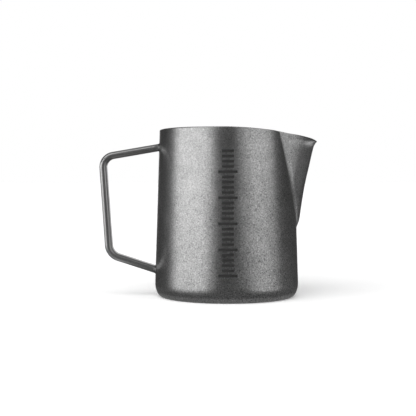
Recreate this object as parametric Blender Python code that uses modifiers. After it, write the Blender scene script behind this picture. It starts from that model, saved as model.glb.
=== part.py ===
"""Milk frothing pitcher: a drawn steel jug with a pressed pouring spout and a bent bar handle.

Metres, +Z up. The origin is the centre of the flat base, on the jug's axis.
+X points to the spout, and the handle is on -X. The jug stands on Z = 0.
Every piece that is welded in the real jug is a solid of its own, with a small gap at each joint.
"""
import bpy
import bmesh
from math import asin, atan2, cos, exp, hypot, pi, radians, sin, sqrt, tan

MM = 0.001
GAP = 0.3 * MM                 # clearance between neighbouring solids

# ---- body ----
BASE_R = 42.85 * MM             # outer radius where the wall starts
RIM_R = 39.8 * MM             # outer radius at the rim
HEIGHT = 99.3 * MM             # rim height at the back and sides
WALL = 0.8 * MM
CORNER_RISE = 8.0 * MM         # height of the elliptical corner between the base and the wall
CORNER_REACH = 4.3 * MM        # its reach in from the wall
RIM_ROUND = 0.3 * MM           # rounding of the rim's two edges
COLUMNS_BODY = 60              # grid columns round the body, crease to crease
COLUMNS_SPOUT = 8              # grid columns from crease to nose, each side
BASE_RINGS = (0.3, 0.7)        # rings on the flat base, as shares of its radius
CORNER_ROWS = 6                # grid rows round the base corner
ROWS_BELOW = 7                 # grid rows from the corner to the chin
ROWS_ABOVE = 15                # grid rows from the chin to the rim

# ---- spout: the crease where it meets the wall is a parabola seen from the front, and the front
# line and the rim's dip are (height, x) and (x, drop) pairs joined by a smooth curve ----
CHIN_Z = 40.5 * MM             # lowest point of the spout's front line
CREASE_SPREAD = 12.2 * MM      # the crease's half-width squared, per metre of height above the chin
CREASE_LEAST = 1.6 * MM        # half-width of the blunt lower end of the crease
FRONT_MM = ((40.5, 41.55), (45.5, 43.3), (50.0, 44.0), (58.0, 45.2), (67.5, 46.85), (77.0, 49.0),
            (86.6, 51.2), (89.2, 51.9), (92.2, 53.7))
NOSE_FULLNESS = 0.27           # half-width of the blunt nose, as a share of the crease's half-width
FLANK_AIM = 0.55               # where the flat of the flank points, as a share of the same
FLANK_STRAIGHT = 0.6           # how far that flat reaches towards the nose
PINCH = 0.35 * MM              # how far the press pulls the wall in beside the crease, at the rim
PINCH_SPAN = radians(9.0)      # how quickly that fades along the wall
RIM_PASSES = 12                # passes that settle each column's rim height
RIM_DROP_MM = ((-40.0, 0.55), (-36.0, 0.25), (-28.0, 0.05), (-16.0, 0.0), (-4.0, 0.0), (8.0, 0.35),
               (21.0, 1.25), (27.0, 1.8), (31.4, 2.6), (36.0, 3.4), (41.0, 4.0), (46.8, 5.0), (50.0, 5.7),
               (53.7, 7.1))

# ---- handle: a flat bar bent in the XZ plane ----
BAR_THICK = 4.15 * MM
BAR_WIDTH = 9.6 * MM
BAR_EDGE_R = 1.5 * MM
HANDLE_TOP = (-40.1 * MM, 88.5 * MM)      # centreline where it meets the wall
HANDLE_BOTTOM = (-42.4 * MM, 15.9 * MM)
BEND_TOP = (-73.8 * MM, 82.7 * MM)         # corners of the centreline before bending
BEND_BOTTOM = (-69.95 * MM, 24.9 * MM)
BEND_TOP_R = 7.0 * MM
BEND_BOTTOM_R = 8.4 * MM
BEND_STEPS = 12
BAR_OVERRUN = 4.0 * MM         # how far the bar runs on before it is trimmed to the wall

# ---- weld beads ----
BEAD_R = 1.1 * MM
BEAD_SIDES = 10
CORNER_STEPS = 5               # points round each rounded corner of the bar

for old in list(bpy.data.objects):
    bpy.data.objects.remove(old, do_unlink=True)

parts = bpy.data.collections.new("milk_frothing_pitcher")
cutters = bpy.data.collections.new("cutters")
for collection in (parts, cutters):
    bpy.context.scene.collection.children.link(collection)


# ---- helpers ----
def steel(name, grey, roughness):
    """A metal with one grey and one roughness."""
    material = bpy.data.materials.new(name)
    material.use_nodes = True
    shader = material.node_tree.nodes["Principled BSDF"]
    shader.inputs["Base Color"].default_value = (grey, grey, grey, 1.0)
    shader.inputs["Metallic"].default_value = 1.0
    shader.inputs["Roughness"].default_value = roughness
    return material


def add_mesh(name, verts, faces, collection, material=None):
    """A mesh object from lists, with its faces turned outward."""
    mesh = bpy.data.meshes.new(name)
    mesh.from_pydata(verts, [], faces)
    bm = bmesh.new()
    bm.from_mesh(mesh)
    bmesh.ops.recalc_face_normals(bm, faces=bm.faces)
    bm.to_mesh(mesh)
    bm.free()
    obj = bpy.data.objects.new(name, mesh)
    collection.objects.link(obj)
    if material:
        mesh.materials.append(material)
    if collection is cutters:
        hide_cutter(obj)
    return obj


def hide_cutter(obj):
    obj.hide_render = True
    obj.display_type = "WIRE"


def cut(target, cutter):
    """An exact boolean that stays editable."""
    boolean = target.modifiers.new("cut_" + cutter.name, "BOOLEAN")
    boolean.operation = "DIFFERENCE"
    boolean.solver = "EXACT"
    boolean.object = cutter


def bevel(target, width, segments, angle):
    modifier = target.modifiers.new("bevel", "BEVEL")
    modifier.width = width
    modifier.segments = segments
    modifier.limit_method = "ANGLE"
    modifier.angle_limit = radians(angle)


def shade(obj, angle=35.0):
    """Smooth shading that keeps edges sharper than the angle."""
    obj.data.shade_smooth()
    obj.data.set_sharp_from_angle(angle=radians(angle))


def curve_value(table, x):
    """Smooth curve through (x, y) pairs that never overshoots them."""
    if x <= table[0][0]:
        return table[0][1]
    if x >= table[-1][0]:
        return table[-1][1]
    slopes = [(b[1] - a[1]) / (b[0] - a[0]) for a, b in zip(table, table[1:])]
    ends = [slopes[0]]
    for s0, s1 in zip(slopes, slopes[1:]):
        ends.append(0.0 if s0 * s1 <= 0.0 else 2.0 * s0 * s1 / (s0 + s1))
    ends.append(slopes[-1])
    i = max(k for k in range(len(slopes)) if table[k][0] <= x)
    (x0, y0), (x1, y1) = table[i], table[i + 1]
    h = x1 - x0
    t = (x - x0) / h
    return (y0 * (1 + 2 * t) * (1 - t) ** 2 + h * ends[i] * t * (1 - t) ** 2
            + y1 * t * t * (3 - 2 * t) + h * ends[i + 1] * t * t * (t - 1))


# ---- body shape ----
def wall_radius(z):
    return BASE_R + (RIM_R - BASE_R) * z / HEIGHT


def rim_height(x):
    return HEIGHT - curve_value(RIM_DROP_MM, x / MM) * MM


def crease_angle(z):
    half_width = sqrt(CREASE_LEAST ** 2 + CREASE_SPREAD * max(z - CHIN_Z, 0.0))
    return asin(half_width / wall_radius(z))


def body_point(share, z):
    """Share 0 is the back, above the handle; share 1 is the crease on the +Y side."""
    crease = crease_angle(z)
    angle = pi - share * (pi - crease)
    depth = PINCH * max(z - CHIN_Z, 0.0) / (HEIGHT - CHIN_Z)
    r = wall_radius(z) - depth * exp((crease - angle) / PINCH_SPAN)
    return r * cos(angle), r * sin(angle)


def spout_point(share, z):
    """Share 0 is the crease; share 1 is the nose, where the front line runs."""
    x0, y0 = body_point(1.0, z)
    nose_x = curve_value(FRONT_MM, z / MM) * MM
    nose_y = NOSE_FULLNESS * y0
    x1 = x0 + FLANK_STRAIGHT * (nose_x - x0)
    y1 = y0 + FLANK_STRAIGHT * (FLANK_AIM - 1.0) * y0
    a, b, c, d = (1 - share) ** 3, 3 * share * (1 - share) ** 2, 3 * share ** 2 * (1 - share), share ** 3
    return a * x0 + b * x1 + (c + d) * nose_x, a * y0 + b * y1 + c * nose_y


def column_top(point, share):
    """Rim height of one column: where the column's curve meets the dipping rim."""
    z = HEIGHT
    for _ in range(RIM_PASSES):
        z = rim_height(point(share, z)[0])
    return z


def half_columns():
    """Columns from the back to the nose on the +Y side, as (point function, share, rim height)."""
    half = COLUMNS_BODY // 2
    columns = [(body_point, i / half) for i in range(half + 1)]
    columns += [(spout_point, i / COLUMNS_SPOUT) for i in range(1, COLUMNS_SPOUT + 1)]
    return [(point, share, column_top(point, share)) for point, share in columns]


def mirror_ring(side, z_of):
    """A full ring from the +Y half, back to nose and round again."""
    ring = [(x, y, z_of[i]) for i, (x, y) in enumerate(side)]
    return ring + [(x, -y, z) for x, y, z in ring[-2:0:-1]]


def round_half(r, angles):
    return [(r * cos(a), r * sin(a)) for a in angles]


def body_rings():
    """Rings from the middle of the base, round its corner and up the wall to the rim."""
    columns = half_columns()
    count = len(columns)
    even = [pi - pi * i / (count - 1) for i in range(count)]
    flat_r = wall_radius(CORNER_RISE) - CORNER_REACH
    rings = [mirror_ring(round_half(flat_r * share, even), [0.0] * count) for share in BASE_RINGS]
    for step in range(CORNER_ROWS + 1):
        turn = (pi / 2) * step / CORNER_ROWS
        height = CORNER_RISE * (1 - cos(turn))
        rings.append(mirror_ring(round_half(flat_r + CORNER_REACH * sin(turn), even), [height] * count))
    at_chin = [atan2(*reversed(point(share, CHIN_Z))) for point, share, top in columns]
    for row in range(1, ROWS_BELOW + 1):
        t = row / ROWS_BELOW
        height = CORNER_RISE + (CHIN_Z - CORNER_RISE) * t
        angles = [a + (b - a) * t for a, b in zip(even, at_chin)]
        rings.append(mirror_ring(round_half(wall_radius(height), angles), [height] * count))
    for row in range(1, ROWS_ABOVE + 1):
        heights = [CHIN_Z + (top - CHIN_Z) * row / ROWS_ABOVE for point, share, top in columns]
        side = [point(share, z) for (point, share, top), z in zip(columns, heights)]
        rings.append(mirror_ring(side, heights))
    return rings


def build_body(material):
    rings = body_rings()
    n = len(rings[0])
    verts = [(0.0, 0.0, 0.0)] + [p for ring in rings for p in ring]
    faces = [(0, 1 + (i + 1) % n, 1 + i) for i in range(n)]
    for k in range(len(rings) - 1):
        a, b = 1 + k * n, 1 + (k + 1) * n
        faces += [(a + i, a + (i + 1) % n, b + (i + 1) % n, b + i) for i in range(n)]
    body = add_mesh("body_shell", verts, faces, parts, material)
    solid = body.modifiers.new("wall", "SOLIDIFY")
    solid.thickness = WALL
    solid.offset = -1.0
    solid.use_even_offset = True
    bevel(body, RIM_ROUND, 2, 70)
    shade(body, 50)
    return body


# ---- handle shape ----
def bent_path(points, radii):
    """Polyline with its inner corners rounded to the given radii."""
    path = [points[0]]
    for i, radius in enumerate(radii, start=1):
        (ax, az), (bx, bz), (cx, cz) = points[i - 1], points[i], points[i + 1]
        la, lc = hypot(ax - bx, az - bz), hypot(cx - bx, cz - bz)
        ua, uc = ((ax - bx) / la, (az - bz) / la), ((cx - bx) / lc, (cz - bz) / lc)
        half = atan2(abs(ua[0] * uc[1] - ua[1] * uc[0]), ua[0] * uc[0] + ua[1] * uc[1]) / 2
        reach = radius / tan(half)
        mx, mz = ua[0] + uc[0], ua[1] + uc[1]
        ml = hypot(mx, mz)
        ox, oz = bx + mx / ml * radius / sin(half), bz + mz / ml * radius / sin(half)
        start = atan2(bz + ua[1] * reach - oz, bx + ua[0] * reach - ox)
        end = atan2(bz + uc[1] * reach - oz, bx + uc[0] * reach - ox)
        turn = (end - start + pi) % (2 * pi) - pi
        for k in range(BEND_STEPS + 1):
            angle = start + turn * k / BEND_STEPS
            path.append((ox + radius * cos(angle), oz + radius * sin(angle)))
    return path + [points[-1]]


def beyond(end, corner, extra):
    """The end point moved away from the corner, along the leg."""
    length = hypot(end[0] - corner[0], end[1] - corner[1])
    return (end[0] + (end[0] - corner[0]) / length * extra, end[1] + (end[1] - corner[1]) / length * extra)


def bar(name, path, thick, width, edge_r, collection, material=None):
    """A flat bar along a path in the XZ plane."""
    verts = [(x, side * width / 2, z) for side in (-1, 1) for x, z in path]
    n = len(path)
    faces = [(i, i + 1, n + i + 1, n + i) for i in range(n - 1)]
    obj = add_mesh(name, verts, faces, collection, material)
    solid = obj.modifiers.new("thickness", "SOLIDIFY")
    solid.thickness = thick
    solid.offset = 0.0
    solid.use_even_offset = True
    bevel(obj, edge_r, 4, 50)
    return obj


def wall_cutter(name, extra):
    """The jug's outside as a plain cone, grown by the given clearance."""
    mesh = bpy.data.meshes.new(name)
    bm = bmesh.new()
    bmesh.ops.create_cone(bm, cap_ends=True, segments=192, radius1=BASE_R + extra, radius2=RIM_R + extra,
                          depth=HEIGHT)
    bm.to_mesh(mesh)
    bm.free()
    obj = bpy.data.objects.new(name, mesh)
    obj.location.z = HEIGHT / 2
    cutters.objects.link(obj)
    hide_cutter(obj)
    return obj


def bar_outline():
    """The bar's rounded cross-section, as (across, through) pairs."""
    half_w, half_t = BAR_WIDTH / 2 - BAR_EDGE_R, BAR_THICK / 2 - BAR_EDGE_R
    outline = []
    for side, face, first in ((1, 1, 0), (-1, 1, 90), (-1, -1, 180), (1, -1, 270)):
        for k in range(CORNER_STEPS + 1):
            angle = radians(first + 90.0 * k / CORNER_STEPS)
            outline.append((side * half_w + BAR_EDGE_R * cos(angle), face * half_t + BAR_EDGE_R * sin(angle)))
    return outline


def weld_bead(name, end, material):
    """A bead round the bar's end: a tube laid in the corner between the bar and the wall."""
    verts = []
    for across, through in bar_outline():
        z = end[1] + through
        x = -sqrt(wall_radius(z) ** 2 - across ** 2)
        reach = hypot(across, through)
        for k in range(BEAD_SIDES):
            angle = 2 * pi * k / BEAD_SIDES
            out = BEAD_R * sin(angle) / reach
            verts.append((x + BEAD_R * cos(angle), across * (1 + out), z + through * out))
    total = len(verts)
    faces = []
    for start in range(0, total, BEAD_SIDES):
        for k in range(BEAD_SIDES):
            side = (k + 1) % BEAD_SIDES
            after = (start + BEAD_SIDES) % total
            faces.append((start + k, start + side, after + side, after + k))
    return add_mesh(name, verts, faces, parts, material)


tumbled = steel("tumbled_steel", 0.30, 0.45)
satin = steel("satin_steel", 0.36, 0.35)
bead_steel = steel("weld_steel", 0.32, 0.42)

body = build_body(tumbled)

ends = (beyond(HANDLE_TOP, BEND_TOP, BAR_OVERRUN), beyond(HANDLE_BOTTOM, BEND_BOTTOM, BAR_OVERRUN))
path = bent_path((ends[0], BEND_TOP, BEND_BOTTOM, ends[1]), (BEND_TOP_R, BEND_BOTTOM_R))
handle = bar("handle", path, BAR_THICK, BAR_WIDTH, BAR_EDGE_R, parts, satin)
wall_clear = wall_cutter("wall_clearance", GAP)
cut(handle, wall_clear)
shade(handle)

bar_clear = bar("bar_clearance", path, BAR_THICK + 2 * GAP, BAR_WIDTH + 2 * GAP, BAR_EDGE_R + GAP, cutters)
for name, end in (("handle_weld_upper", HANDLE_TOP), ("handle_weld_lower", HANDLE_BOTTOM)):
    bead = weld_bead(name, end, bead_steel)
    cut(bead, wall_clear)
    cut(bead, bar_clear)
    shade(bead)
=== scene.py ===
"""The looks of the milk frothing pitcher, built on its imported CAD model.

Metres, +Z up, the same frame as the CAD: the origin is the centre of the base, +X points to the
spout and the handle is on -X. The body, the handle and the two welds are remade finer than their
CAD solids, at the same size, and the laser-marked strip is added as a plain fill scale.
"""

from math import asin, atan2, cos, exp, hypot, pi, radians, sin, sqrt, tan

import bpy
from mathutils import Euler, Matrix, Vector


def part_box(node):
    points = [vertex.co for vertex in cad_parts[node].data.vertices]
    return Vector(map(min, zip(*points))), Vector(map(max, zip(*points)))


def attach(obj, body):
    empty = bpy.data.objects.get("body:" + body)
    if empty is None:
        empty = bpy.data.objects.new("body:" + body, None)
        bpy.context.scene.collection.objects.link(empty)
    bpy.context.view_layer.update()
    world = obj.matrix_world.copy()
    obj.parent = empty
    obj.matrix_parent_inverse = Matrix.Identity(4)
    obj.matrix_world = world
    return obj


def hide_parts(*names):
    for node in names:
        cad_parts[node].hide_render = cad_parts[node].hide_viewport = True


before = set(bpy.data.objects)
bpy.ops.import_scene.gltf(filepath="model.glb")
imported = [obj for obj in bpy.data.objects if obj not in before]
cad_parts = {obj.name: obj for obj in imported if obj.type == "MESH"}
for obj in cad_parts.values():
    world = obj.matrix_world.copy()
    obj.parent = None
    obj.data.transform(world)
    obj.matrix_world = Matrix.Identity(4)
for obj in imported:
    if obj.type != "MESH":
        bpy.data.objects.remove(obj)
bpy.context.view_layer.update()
body_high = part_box("body_shell")[1]
bar_low, bar_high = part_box("handle")

MM = 0.001

# ---- body: sizes from the CAD box where it gives them ----
HEIGHT = body_high[2]
BASE_R = 42.85 * MM
RIM_R = 39.8 * MM
WALL = 0.8 * MM
CORNER_RISE = 8.0 * MM
CORNER_REACH = 4.3 * MM
COLUMNS_BODY = 176
COLUMNS_SPOUT = 30
COLUMNS_CREASE = 8
CORNER_ROWS = 14
ROWS_BELOW = 22
ROWS_ABOVE = 56
BASE_RINGS = (0.15, 0.4, 0.65, 0.85, 0.95)
RIM_STEPS = 8

# ---- spout ----
CHIN_Z = 40.5 * MM
CREASE_SPREAD = 12.2 * MM
CREASE_LEAST = 1.6 * MM
FRONT_MM = ((40.5, 41.55), (45.5, 43.3), (50.0, 44.0), (58.0, 45.2), (67.5, 46.85), (77.0, 49.0),
            (86.6, 51.2), (89.2, 51.9), (92.2, 53.7))
NOSE_FULLNESS = 0.27
FLANK_AIM = 0.55
FLANK_STRAIGHT = 0.6
PINCH = 0.35 * MM
PINCH_SPAN = radians(9.0)
RIM_DROP_MM = ((-40.0, 0.55), (-36.0, 0.25), (-28.0, 0.05), (-16.0, 0.0), (-4.0, 0.0), (8.0, 0.35),
               (21.0, 1.25), (27.0, 1.8), (31.4, 2.6), (36.0, 3.4), (41.0, 4.0), (46.8, 5.0), (50.0, 5.7),
               (53.7, 7.1))
RIM_PASSES = 12
WALL_END = 0.992               # share of the wall before the rounded crease
FLANK_START_TOP = 0.02
FLANK_START_CHIN = 0.24

# ---- handle ----
BAR_THICK = 4.15 * MM
BAR_WIDTH = bar_high[1] - bar_low[1]
BAR_EDGE_R = 1.7 * MM
HANDLE_TOP = (-40.1 * MM, 88.5 * MM)
HANDLE_BOTTOM = (-42.4 * MM, 15.9 * MM)
BEND_TOP = (-73.8 * MM, 82.7 * MM)
BEND_BOTTOM = (-69.95 * MM, 24.9 * MM)
BEND_TOP_R = 7.0 * MM
BEND_BOTTOM_R = 8.4 * MM
BEND_STEPS = 28
LEG_STEPS = 10
EDGE_STEPS = 8
REACH_PASSES = 8

# ---- welds ----
WELD_SIZE = 0.7 * MM           # leg length of the fillet
WELD_STEPS = 8
WELD_ROOT = 0.15 * MM          # how far the fillet reaches into the bar and the wall

# ---- fill scale marked on the near side ----
MARK_LOW = 16.0 * MM
MARK_HIGH = 87.0 * MM
MARK_STEP = 2.9 * MM
MARK_TALL = 1.5 * MM
MARK_HALF = 5.4 * MM
MARK_LIFT = 0.03 * MM
MARK_COLUMNS = 12
MARK_WIDE_EVERY = 5
MARK_NARROW = 0.62             # a narrow bar's share of the full width

# ---- grain: the heights and the stretch of X over which its strength changes ----
GRAIN_Z = (25.0 * MM, 80.0 * MM)
GRAIN_X = (-20.0 * MM, 12.0 * MM)

# ---- camera ----
CAMERA_AT = (-11.1 * MM, -600.0 * MM, 72.25 * MM)
LOOK_AT = (-11.1 * MM, 0.0, 52.45 * MM)
LENS = 87.05
SENSOR = 36.0

# ---- floor ----
FLOOR_CORNERS = ((-4, -4, 0), (4, -4, 0), (4, 8, 0), (-4, 8, 0))
FLOOR_GLOW = 0.26              # keeps the paper pale, so shadows on it stay faint
# Painted shade for the steel to mirror: a faintly glowing dark disc under the jug, with a paler glowing
# middle; only reflections show it.
SHADE_R = 68.0 * MM            # the painted contact shadow, a dark disc that only the lower steel mirrors
SHADE_IN_R = 44.0 * MM         # the painted paler glow right under the jug, in the middle of that disc
SHADE_DROP = 0.2 * MM
SHADE_GLOW = 0.12
SHADE_IN_GLOW = 0.22
SHADE_SIDES = 64

# ---- lights ----
# Soft boxes, as the steel mirrors them: name, azimuth, elevation, span, lowest and highest angle
# from that elevation, radiance. Angles in degrees; azimuth 0 is the camera's side, 90 the spout's.
SOFTBOXES = (
    ("key_left", -59.75, 0, 73.5, 0, 16, 1.75),
    ("key_left_bounce", -62.5, 0, 61, -15, 0, 1.05),
    ("fill_right", 53, 0, 36, 0, 16, 0.4),
    ("fill_right_wide", 52, 0, 64, 0, 40, 0.67),
    ("bounce_right", 66, -18, 46, -12, 12, 0.93),
    ("glow_right", 117, -25, 26, -13, 13, 0.8),
    ("top_front", -32, 38, 44, -10, 10, 1.55),
    ("low_front", -34, -34, 44, -10, 10, 0.65),
    ("overhead", 0, 82, 60, -24, 24, 0.25),
    ("back_soft", 180, 0, 36, -4, 30, 0.9),
    ("under_glow", 0, -82, 60, -24, 24, 0.5),
)
BOX_DISTANCE = 1.3
AIM = (0.0, 0.0, 50.0 * MM)    # the middle of the jug, where the soft boxes point
# Lights for the paper only: name, strength, angle across, tilt about X and Y in degrees.
FLOOR_LIGHTS = (
    ("paper_front", 2.4, 75, (42, -25)),
    ("paper_dome", 1.05, 120, (0, 0)),
)
BACKDROP = 1.0
ROOM = 0.075


# ---- small maths ----
def curve_value(table, x):
    """Smooth curve through (x, y) pairs that never overshoots them."""
    if x <= table[0][0]:
        return table[0][1]
    if x >= table[-1][0]:
        return table[-1][1]
    slopes = [(b[1] - a[1]) / (b[0] - a[0]) for a, b in zip(table, table[1:])]
    ends = [slopes[0]]
    for s0, s1 in zip(slopes, slopes[1:]):
        ends.append(0.0 if s0 * s1 <= 0.0 else 2.0 * s0 * s1 / (s0 + s1))
    ends.append(slopes[-1])
    i = max(k for k in range(len(slopes)) if table[k][0] <= x)
    (x0, y0), (x1, y1) = table[i], table[i + 1]
    h = x1 - x0
    t = (x - x0) / h
    return (y0 * (1 + 2 * t) * (1 - t) ** 2 + h * ends[i] * t * (1 - t) ** 2
            + y1 * t * t * (3 - 2 * t) + h * ends[i + 1] * t * t * (t - 1))


# ---- materials ----
class Nodes:
    """Short calls for building one material's node tree."""

    def __init__(self, name):
        self.material = bpy.data.materials.new(name)
        self.material.use_nodes = True
        self.tree = self.material.node_tree
        self.shader = self.tree.nodes["Principled BSDF"]

    def add(self, kind, **settings):
        node = self.tree.nodes.new(kind)
        for key, value in settings.items():
            setattr(node, key, value)
        return node

    def link(self, out, socket):
        self.tree.links.new(out, socket)

    def coords(self, scale):
        place = self.add("ShaderNodeTexCoord")
        mapping = self.add("ShaderNodeMapping")
        mapping.inputs["Scale"].default_value = scale
        self.link(place.outputs["Object"], mapping.inputs["Vector"])
        return mapping.outputs["Vector"]

    def noise(self, vector, scale, detail=2.0, roughness=0.5):
        node = self.add("ShaderNodeTexNoise")
        node.inputs["Scale"].default_value = scale
        node.inputs["Detail"].default_value = detail
        node.inputs["Roughness"].default_value = roughness
        self.link(vector, node.inputs["Vector"])
        return node.outputs["Fac"]

    def remap(self, value, low, high, out_low, out_high):
        node = self.add("ShaderNodeMapRange", clamp=True)
        for name, number in (("From Min", low), ("From Max", high),
                             ("To Min", out_low), ("To Max", out_high)):
            node.inputs[name].default_value = number
        self.link(value, node.inputs["Value"])
        return node.outputs["Result"]

    def maths(self, operation, a, b):
        node = self.add("ShaderNodeMath", operation=operation)
        for socket, value in zip(node.inputs, (a, b)):
            if isinstance(value, float):
                socket.default_value = value
            else:
                self.link(value, socket)
        return node.outputs["Value"]

    def grey(self, value, socket):
        node = self.add("ShaderNodeCombineColor")
        for name in ("Red", "Green", "Blue"):
            self.link(value, node.inputs[name])
        self.link(node.outputs["Color"], socket)

    def bump(self, height, distance):
        node = self.add("ShaderNodeBump")
        node.inputs["Distance"].default_value = distance
        node.inputs["Strength"].default_value = 1.0
        self.link(height, node.inputs["Height"])
        self.link(node.outputs["Normal"], self.shader.inputs["Normal"])

    def set(self, **values):
        for name, value in values.items():
            self.shader.inputs[name.replace("_", " ")].default_value = value


def tumbled_steel():
    """Steel tumbled with stones: grey and satin, with faint clouds and a fine pitted grain.

    The grain is stronger low down and towards the spout.
    """
    n = Nodes("tumbled_steel_look")
    n.set(Metallic=1.0)
    place = n.coords((1.0, 1.0, 1.0))
    grain = n.noise(place, 1300.0, 3.0, 0.65)
    fine = n.noise(place, 3200.0, 2.0, 0.5)
    cloud = n.noise(place, 110.0, 4.0, 0.6)
    pits = n.remap(grain, 0.28, 0.48, -0.20, 0.0)
    specks = n.remap(grain, 0.52, 0.72, 0.0, 0.22)
    marks = n.maths("ADD", n.maths("ADD", pits, specks), n.remap(fine, 0.3, 0.7, -0.10, 0.10))
    split = n.add("ShaderNodeSeparateXYZ")
    n.link(place, split.inputs["Vector"])
    by_height = n.remap(split.outputs["Z"], *GRAIN_Z, 1.2, 0.82)
    by_side = n.remap(split.outputs["X"], *GRAIN_X, 0.95, 1.45)
    marks = n.maths("MULTIPLY", marks, n.maths("MULTIPLY", by_height, by_side))
    tone = n.maths("ADD", n.remap(cloud, 0.3, 0.7, 0.38, 0.48), marks)
    n.grey(tone, n.shader.inputs["Base Color"])
    n.link(n.remap(grain, 0.3, 0.7, 0.36, 0.28), n.shader.inputs["Roughness"])
    n.bump(n.maths("ADD", grain, n.maths("MULTIPLY", fine, 0.5)), 0.035 * MM)
    return n.material


def rim_steel():
    """The rim's rounded edge, polished a little by wear."""
    n = Nodes("rim_steel_look")
    n.set(Metallic=1.0)
    wear = n.noise(n.coords((1.0, 1.0, 1.0)), 500.0, 3.0, 0.6)
    n.grey(n.remap(wear, 0.3, 0.7, 0.48, 0.64), n.shader.inputs["Base Color"])
    n.link(n.remap(wear, 0.3, 0.7, 0.38, 0.24), n.shader.inputs["Roughness"])
    return n.material


def satin_steel():
    """The handle's bar: smoother steel with fine streaks along its length."""
    n = Nodes("satin_steel_look")
    n.set(Metallic=1.0)
    along = n.add("ShaderNodeAttribute", attribute_name="bar_place")
    stretch = n.add("ShaderNodeMapping")
    stretch.inputs["Scale"].default_value = (60.0, 2600.0, 2600.0)
    n.link(along.outputs["Vector"], stretch.inputs["Vector"])
    streaks = n.noise(stretch.outputs["Vector"], 1.0, 3.0, 0.6)
    grain = n.noise(n.coords((1.0, 1.0, 1.0)), 1500.0, 3.0, 0.6)
    tone = n.maths("ADD", n.remap(streaks, 0.3, 0.7, 0.42, 0.56), n.remap(grain, 0.3, 0.7, -0.05, 0.05))
    n.grey(tone, n.shader.inputs["Base Color"])
    n.link(n.remap(streaks, 0.3, 0.7, 0.36, 0.28), n.shader.inputs["Roughness"])
    n.bump(n.maths("ADD", streaks, n.maths("MULTIPLY", grain, 0.4)), 0.012 * MM)
    return n.material


def weld_steel():
    """Dressed weld metal, a little duller than the bar."""
    n = Nodes("weld_steel_look")
    n.set(Metallic=1.0)
    place = n.coords((1.0, 1.0, 1.0))
    patch = n.noise(place, 700.0, 3.0, 0.6)
    n.grey(n.remap(patch, 0.3, 0.7, 0.16, 0.28), n.shader.inputs["Base Color"])
    n.link(n.remap(patch, 0.3, 0.7, 0.50, 0.36), n.shader.inputs["Roughness"])
    n.bump(patch, 0.04 * MM)
    return n.material


def laser_mark():
    """The dark oxide that a marking laser leaves on steel, broken up a little by the grain."""
    n = Nodes("laser_mark_look")
    n.set(Metallic=0.0, Specular_IOR_Level=0.25)
    grain = n.noise(n.coords((1.0, 1.0, 1.0)), 1600.0, 3.0, 0.6)
    n.grey(n.remap(grain, 0.3, 0.75, 0.010, 0.035), n.shader.inputs["Base Color"])
    n.link(n.remap(grain, 0.3, 0.7, 0.65, 0.5), n.shader.inputs["Roughness"])
    return n.material


def floor_paper():
    """Plain pale paper with a faint tooth."""
    n = Nodes("floor_paper_look")
    n.set(Roughness=0.9, Specular_IOR_Level=0.0, Emission_Color=(1, 1, 1, 1), Emission_Strength=FLOOR_GLOW)
    tooth = n.noise(n.coords((1.0, 1.0, 1.0)), 400.0, 2.0, 0.5)
    n.grey(n.remap(tooth, 0.3, 0.7, 0.90, 0.92), n.shader.inputs["Base Color"])
    return n.material


def contact_shade(name, glow):
    """Painted shade for the steel to mirror: flat dark grey with a glow, standing for the paper in the
    jug's shadow.
    """
    n = Nodes(name)
    n.set(Base_Color=(0.02, 0.02, 0.02, 1), Roughness=1.0, Specular_IOR_Level=0.0,
          Emission_Color=(1, 1, 1, 1), Emission_Strength=glow)
    return n.material


# ---- mesh making ----
def add_mesh(name, verts, faces, materials, face_slots=None):
    mesh = bpy.data.meshes.new(name)
    mesh.from_pydata(verts, [], faces)
    for material in materials:
        mesh.materials.append(material)
    if face_slots:
        mesh.polygons.foreach_set("material_index", face_slots)
    mesh.shade_smooth()
    mesh.update()
    obj = bpy.data.objects.new(name, mesh)
    bpy.context.scene.collection.objects.link(obj)
    return obj


def strip(a, b, count):
    """Quads between two closed rings whose points start at indices a and b."""
    return [(a + i, a + (i + 1) % count, b + (i + 1) % count, b + i) for i in range(count)]


# ---- body ----
def wall_radius(z):
    return BASE_R + (RIM_R - BASE_R) * z / HEIGHT


def rim_height(x):
    return HEIGHT - curve_value(RIM_DROP_MM, x / MM) * MM


def crease_angle(z):
    half_width = sqrt(CREASE_LEAST ** 2 + CREASE_SPREAD * max(z - CHIN_Z, 0.0))
    return asin(half_width / wall_radius(z))


def body_point(share, z):
    """Share 0 is the back, above the handle; share 1 is the crease on the +Y side."""
    crease = crease_angle(z)
    angle = pi - share * (pi - crease)
    depth = PINCH * max(z - CHIN_Z, 0.0) / (HEIGHT - CHIN_Z)
    r = wall_radius(z) - depth * exp((crease - angle) / PINCH_SPAN)
    return r * cos(angle), r * sin(angle)


def spout_point(share, z):
    """Share 0 is the crease; share 1 is the nose, where the front line runs."""
    x0, y0 = body_point(1.0, z)
    nose_x = curve_value(FRONT_MM, z / MM) * MM
    nose_y = NOSE_FULLNESS * y0
    x1 = x0 + FLANK_STRAIGHT * (nose_x - x0)
    y1 = y0 + FLANK_STRAIGHT * (FLANK_AIM - 1.0) * y0
    a, b, c, d = (1 - share) ** 3, 3 * share * (1 - share) ** 2, 3 * share ** 2 * (1 - share), share ** 3
    return a * x0 + b * x1 + (c + d) * nose_x, a * y0 + b * y1 + c * nose_y


def column_top(point, share):
    z = HEIGHT
    for _ in range(RIM_PASSES):
        z = rim_height(point(share, z)[0])
    return z


def flank_start(z):
    """Where on the spout's curve the rounded crease ends; it is wider near the chin."""
    return FLANK_START_TOP + (FLANK_START_CHIN - FLANK_START_TOP) * (HEIGHT - z) / (HEIGHT - CHIN_Z)


def wall_side(share, z):
    return body_point(share * WALL_END, z)


def flank_side(share, z):
    start = flank_start(z)
    return spout_point(start + (1 - start) * share, z)


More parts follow.
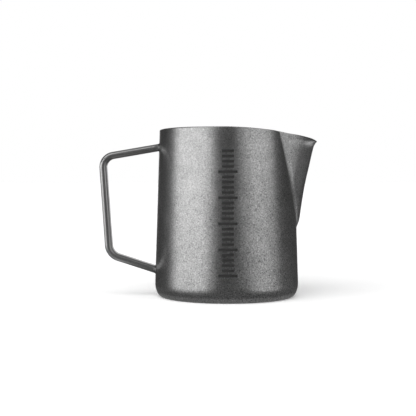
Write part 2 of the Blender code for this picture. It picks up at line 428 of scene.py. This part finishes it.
def crease_round(share, z):
    """The pressed crease, rounded between the wall and the flank of the spout."""
    (ax, ay), (bx, by), (cx, cy) = wall_side(1.0, z), body_point(1.0, z), flank_side(0.0, z)
    a, b, c = (1 - share) ** 2, 2 * share * (1 - share), share ** 2
    return a * ax + b * bx + c * cx, a * ay + b * by + c * cy


def half_columns():
    """Columns from the back to the nose on the +Y side."""
    half = COLUMNS_BODY // 2
    columns = [(wall_side, i / half) for i in range(half)]
    columns += [(crease_round, i / COLUMNS_CREASE) for i in range(COLUMNS_CREASE)]
    columns += [(flank_side, i / COLUMNS_SPOUT) for i in range(COLUMNS_SPOUT + 1)]
    return [(point, share, column_top(point, share)) for point, share in columns]


def mirror_ring(side, heights):
    ring = [Vector((x, y, z)) for (x, y), z in zip(side, heights)]
    return ring + [Vector((p.x, -p.y, p.z)) for p in ring[-2:0:-1]]


def round_half(r, angles):
    return [(r * cos(a), r * sin(a)) for a in angles]


def outer_rings():
    """Rings from the middle of the base, round its corner and up the wall to the rim."""
    columns = half_columns()
    count = len(columns)
    even = [pi - pi * i / (count - 1) for i in range(count)]
    flat_r = wall_radius(CORNER_RISE) - CORNER_REACH
    rings = [mirror_ring(round_half(flat_r * share, even), [0.0] * count) for share in BASE_RINGS]
    for step in range(CORNER_ROWS + 1):
        turn = (pi / 2) * step / CORNER_ROWS
        height = CORNER_RISE * (1 - cos(turn))
        rings.append(mirror_ring(round_half(flat_r + CORNER_REACH * sin(turn), even), [height] * count))
    at_chin = [atan2(*reversed(point(share, CHIN_Z))) for point, share, top in columns]
    for row in range(1, ROWS_BELOW + 1):
        t = row / ROWS_BELOW
        height = CORNER_RISE + (CHIN_Z - CORNER_RISE) * t
        angles = [a + (b - a) * t for a, b in zip(even, at_chin)]
        rings.append(mirror_ring(round_half(wall_radius(height), angles), [height] * count))
    for row in range(1, ROWS_ABOVE + 1):
        heights = [CHIN_Z + (top - CHIN_Z) * row / ROWS_ABOVE for point, share, top in columns]
        side = [point(share, z) for (point, share, top), z in zip(columns, heights)]
        rings.append(mirror_ring(side, heights))
    return rings


def ring_normals(rings):
    """Outward normals of a stack of rings."""
    count = len(rings[0])
    normals = []
    for k, ring in enumerate(rings):
        below, above = rings[max(k - 1, 0)], rings[min(k + 1, len(rings) - 1)]
        normals.append([(ring[(i + 1) % count] - ring[i - 1]).cross(above[i] - below[i]).normalized()
                        * (-1.0) for i in range(count)])
    return normals


def build_body(look, rim_look):
    rings = outer_rings()
    normals = ring_normals(rings)
    count = len(rings[0])
    inner = [[p - n * WALL for p, n in zip(ring, row)] for ring, row in zip(rings, normals)]
    top, top_in = rings[-1], inner[-1]
    lip = []
    for step in range(1, RIM_STEPS):
        turn = pi * step / RIM_STEPS
        lip.append([(a + b) / 2 + (a - b) / 2 * cos(turn) + Vector((0, 0, WALL / 2)) * (sin(turn) - 1.0)
                    for a, b in zip(top, top_in)])
    lowered = Vector((0, 0, WALL / 2))
    rings[-1] = [p - lowered for p in top]
    inner[-1] = [p - lowered for p in top_in]
    stack = rings + lip + inner[::-1]
    verts = [Vector((0, 0, 0))] + [p for ring in stack for p in ring] + [Vector((0, 0, WALL))]
    faces = [(0, 1 + i, 1 + (i + 1) % count) for i in range(count)]
    slots = [0] * count
    for k in range(len(stack) - 1):
        on_rim = len(rings) - 1 <= k < len(rings) + len(lip)
        faces += [face[::-1] for face in strip(1 + k * count, 1 + (k + 1) * count, count)]
        slots += [1 if on_rim else 0] * count
    last = 1 + (len(stack) - 1) * count
    faces += [(len(verts) - 1, last + (i + 1) % count, last + i) for i in range(count)]
    slots += [0] * count
    return add_mesh("body_surface", verts, faces, (look, rim_look), slots)


# ---- handle ----
def bent_path(points, radii):
    """Polyline with its corners rounded to the given radii, its straight legs split evenly."""
    path = [points[0]]
    for i, radius in enumerate(radii, start=1):
        (ax, az), (bx, bz), (cx, cz) = points[i - 1], points[i], points[i + 1]
        la, lc = hypot(ax - bx, az - bz), hypot(cx - bx, cz - bz)
        ua, uc = ((ax - bx) / la, (az - bz) / la), ((cx - bx) / lc, (cz - bz) / lc)
        half = atan2(abs(ua[0] * uc[1] - ua[1] * uc[0]), ua[0] * uc[0] + ua[1] * uc[1]) / 2
        reach = radius / tan(half)
        mx, mz = ua[0] + uc[0], ua[1] + uc[1]
        ml = hypot(mx, mz)
        ox, oz = bx + mx / ml * radius / sin(half), bz + mz / ml * radius / sin(half)
        start = atan2(bz + ua[1] * reach - oz, bx + ua[0] * reach - ox)
        end = atan2(bz + uc[1] * reach - oz, bx + uc[0] * reach - ox)
        turn = (end - start + pi) % (2 * pi) - pi
        path += straight(path[-1], (ox + radius * cos(start), oz + radius * sin(start)))
        for k in range(1, BEND_STEPS + 1):
            angle = start + turn * k / BEND_STEPS
            path.append((ox + radius * cos(angle), oz + radius * sin(angle)))
    return path + straight(path[-1], points[-1])


def straight(a, b):
    return [(a[0] + (b[0] - a[0]) * k / LEG_STEPS, a[1] + (b[1] - a[1]) * k / LEG_STEPS)
            for k in range(1, LEG_STEPS + 1)]


def bar_outline(grow=0.0):
    """The bar's rounded cross-section grown evenly, as (across, through) pairs."""
    half_w, half_t = BAR_WIDTH / 2 - BAR_EDGE_R, BAR_THICK / 2 - BAR_EDGE_R
    r = BAR_EDGE_R + grow
    outline = []
    for side, face, first in ((1, 1, 0), (-1, 1, 90), (-1, -1, 180), (1, -1, 270)):
        for k in range(EDGE_STEPS + 1):
            angle = radians(first + 90.0 * k / EDGE_STEPS)
            outline.append((side * half_w + r * cos(angle), face * half_t + r * sin(angle)))
    return outline


def axis_of(end, corner):
    """Unit vector along a leg towards the wall, and the one across it in the XZ plane."""
    length = hypot(end[0] - corner[0], end[1] - corner[1])
    ux, uz = (end[0] - corner[0]) / length, (end[1] - corner[1]) / length
    return Vector((ux, 0, uz)), Vector((-uz, 0, ux))


def wall_reach(end, axis, across_axis, across, through):
    """How far along the leg's axis, from its end point, the bar's line meets the wall."""
    start = Vector((end[0], across, end[1])) + across_axis * through
    s = 0.0
    for _ in range(REACH_PASSES):
        p = start + axis * s
        s += (p.x + sqrt(wall_radius(p.z) ** 2 - across ** 2)) / -axis.x
    return s


def build_handle(look):
    top_axis, top_side = axis_of(HANDLE_TOP, BEND_TOP)
    low_axis, low_side = axis_of(HANDLE_BOTTOM, BEND_BOTTOM)
    path = bent_path((HANDLE_TOP, BEND_TOP, BEND_BOTTOM, HANDLE_BOTTOM), (BEND_TOP_R, BEND_BOTTOM_R))
    outline = bar_outline()
    count = len(outline)
    verts, places, run = [], [], 0.0
    for i, (x, z) in enumerate(path):
        before, after = path[max(i - 1, 0)], path[min(i + 1, len(path) - 1)]
        tx, tz = after[0] - before[0], after[1] - before[1]
        length = hypot(tx, tz)
        side = Vector((tz / length, 0, -tx / length))
        if i:
            run += hypot(x - path[i - 1][0], z - path[i - 1][1])
        for across, through in outline:
            point = Vector((x, across, z)) + side * through
            if i == 0:
                point += top_axis * (wall_reach(HANDLE_TOP, top_axis, top_side, across,
                                                (side * through).dot(top_side)) + WELD_ROOT)
            if i == len(path) - 1:
                point += low_axis * (wall_reach(HANDLE_BOTTOM, low_axis, low_side, across,
                                                (side * through).dot(low_side)) + WELD_ROOT)
            verts.append(point)
            places.append((run, across, through))
    faces = []
    for k in range(len(path) - 1):
        faces += strip(k * count, (k + 1) * count, count)
    faces.append(tuple(range(count - 1, -1, -1)))
    faces.append(tuple(range((len(path) - 1) * count, len(path) * count)))
    handle = add_mesh("handle_bar", verts, faces, (look,))
    attribute = handle.data.attributes.new("bar_place", "FLOAT_VECTOR", "POINT")
    attribute.data.foreach_set("vector", [value for place in places for value in place])
    return handle


def build_weld(name, end, corner, look):
    """A concave fillet round the bar's end, closed behind inside the bar and the wall."""
    axis, side = axis_of(end, corner)
    profile = []
    for k in range(WELD_STEPS + 1):
        turn = (pi / 2) * k / WELD_STEPS
        profile.append((WELD_SIZE * (1 - cos(turn)), WELD_SIZE * (1 - sin(turn))))
    profile += [(WELD_SIZE, -WELD_ROOT), (-WELD_ROOT, -WELD_ROOT), (-WELD_ROOT, WELD_SIZE)]
    verts = []
    for grow, back in profile:
        for across, through in bar_outline(grow):
            s = wall_reach(end, axis, side, across, through) - back
            verts.append(Vector((end[0], across, end[1])) + side * through + axis * s)
    count = len(verts) // len(profile)
    faces = []
    for k in range(len(profile)):
        faces += strip(k * count, (k + 1) % len(profile) * count, count)
    return add_mesh(name, verts, faces, (look,))


# ---- fill scale ----
def wall_plate(half_width, low, high, verts, faces):
    """A thin closed plate that follows the wall on the side that faces -Y."""
    columns = MARK_COLUMNS
    first = len(verts)
    for lift in (MARK_LIFT, -MARK_LIFT):
        for z in (low, high):
            r = wall_radius(z) + lift
            for i in range(columns + 1):
                angle = half_width * (2 * i / columns - 1) / r - pi / 2
                verts.append((r * cos(angle), r * sin(angle), z))
    n = columns + 1
    for i in range(columns):
        a, b, c, d = first + i, first + n + i, first + 2 * n + i, first + 3 * n + i
        faces.append((a, a + 1, b + 1, b))
        faces.append((c + 1, c, d, d + 1))
        faces.append((a + 1, a, c, c + 1))
        faces.append((b, b + 1, d + 1, d))
    a, b, c, d = first, first + n, first + 2 * n, first + 3 * n
    faces.append((a, b, d, c))
    a, b, c, d = a + columns, b + columns, c + columns, d + columns
    faces.append((b, a, c, d))


def build_marks(look):
    """A plain scale: a wide bar at every fifth step and narrower bars between."""
    verts, faces = [], []
    steps = int((MARK_HIGH - MARK_LOW) / MARK_STEP)
    for i in range(steps + 1):
        z = MARK_LOW + i * MARK_STEP
        share = 1.0 if i % MARK_WIDE_EVERY == 0 else MARK_NARROW
        wall_plate(MARK_HALF * share, z - MARK_TALL / 2, z + MARK_TALL / 2, verts, faces)
    marks = add_mesh("fill_scale_marks", verts, faces, (look,))
    marks.data.shade_flat()
    return marks


# ---- studio ----
def build_floor(look, shade_look, painted_glow_look):
    """Pale paper the steel doesn't mirror, and under the jug a disc of painted shade, with a painted paler
    glow in its middle, that it does.
    """
    floor = add_mesh("floor", FLOOR_CORNERS, [(0, 1, 2, 3)], (look,))
    floor.visible_glossy = False
    count = SHADE_SIDES
    verts = [(r * cos(2 * pi * i / count), r * sin(2 * pi * i / count), -SHADE_DROP)
             for r in (SHADE_R, SHADE_IN_R) for i in range(count)]
    faces = strip(0, count, count) + [tuple(range(count, 2 * count))]
    shade = add_mesh("contact_shade", verts, faces, (shade_look, painted_glow_look), [0] * count + [1])
    shade.visible_camera = False
    shade.visible_diffuse = False
    shade.visible_shadow = False


def softbox(name, azimuth, elevation, span, low, high, radiance):
    """A soft light that only the steel's reflections show; its entries are those of SOFTBOXES."""
    light = bpy.data.lights.new(name, "AREA")
    light.shape = "RECTANGLE"
    light.size = 2 * BOX_DISTANCE * tan(radians(span / 2))
    light.size_y = BOX_DISTANCE * (tan(radians(high)) - tan(radians(low)))
    light.energy = radiance * pi * light.size * light.size_y
    obj = bpy.data.objects.new(name, light)
    bpy.context.scene.collection.objects.link(obj)
    turn = Euler((radians(90.0 - elevation), 0.0, radians(azimuth)))
    centre = Vector((0.0, 0.0, BOX_DISTANCE))
    centre.y += BOX_DISTANCE * (tan(radians(high)) + tan(radians(low))) / 2
    centre.rotate(turn)
    obj.location = centre + Vector(AIM)
    obj.rotation_euler = turn
    obj.visible_camera = False
    obj.visible_diffuse = False


def floor_light(name, strength, angle, tilt):
    """Broad light from above for the paper and its shadows; the steel doesn't mirror it."""
    light = bpy.data.lights.new(name, "SUN")
    light.energy = strength
    light.angle = radians(angle)
    obj = bpy.data.objects.new(name, light)
    bpy.context.scene.collection.objects.link(obj)
    obj.rotation_euler = (radians(tilt[0]), radians(tilt[1]), 0)
    obj.visible_glossy = False


def build_world(backdrop, studio):
    """A pale backdrop for the camera, and a dim room for everything else."""
    world = bpy.data.worlds.new("studio")
    world.use_nodes = True
    tree = world.node_tree
    tree.nodes.clear()
    path = tree.nodes.new("ShaderNodeLightPath")
    room, pale = tree.nodes.new("ShaderNodeBackground"), tree.nodes.new("ShaderNodeBackground")
    room.inputs["Color"].default_value = (studio, studio, studio, 1)
    pale.inputs["Color"].default_value = (backdrop, backdrop, backdrop, 1)
    mix, out = tree.nodes.new("ShaderNodeMixShader"), tree.nodes.new("ShaderNodeOutputWorld")
    tree.links.new(path.outputs["Is Camera Ray"], mix.inputs["Fac"])
    tree.links.new(room.outputs["Background"], mix.inputs[1])
    tree.links.new(pale.outputs["Background"], mix.inputs[2])
    tree.links.new(mix.outputs["Shader"], out.inputs["Surface"])
    bpy.context.scene.world = world


def build_camera():
    """The long lens a little above the middle of the jug."""
    camera = bpy.data.cameras.new("camera")
    camera.lens = LENS
    camera.sensor_width = SENSOR
    obj = bpy.data.objects.new("camera", camera)
    bpy.context.scene.collection.objects.link(obj)
    obj.location = CAMERA_AT
    obj.rotation_euler = (Vector(LOOK_AT) - Vector(CAMERA_AT)).to_track_quat("-Z", "Y").to_euler()
    bpy.context.scene.camera = obj


body = build_body(tumbled_steel(), rim_steel())
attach(body, "root")
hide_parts("body_shell")

handle = build_handle(satin_steel())
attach(handle, "root")
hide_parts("handle")

weld_look = weld_steel()
for node, end, corner in (("handle_weld_upper", HANDLE_TOP, BEND_TOP),
                          ("handle_weld_lower", HANDLE_BOTTOM, BEND_BOTTOM)):
    weld = build_weld(node + "_fillet", end, corner, weld_look)
    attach(weld, "root")
    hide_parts(node)

marks = build_marks(laser_mark())
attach(marks, "root")

# painted shade under the jug and a painted paler glow in its middle, for the steel's reflections only
build_floor(floor_paper(), contact_shade("contact_shade_look", SHADE_GLOW),
            contact_shade("contact_painted_glow_look", SHADE_IN_GLOW))
for box in SOFTBOXES:
    softbox(*box)
for light in FLOOR_LIGHTS:
    floor_light(*light)
build_world(BACKDROP, ROOM)
build_camera()
bpy.context.scene.view_settings.view_transform = "Standard"
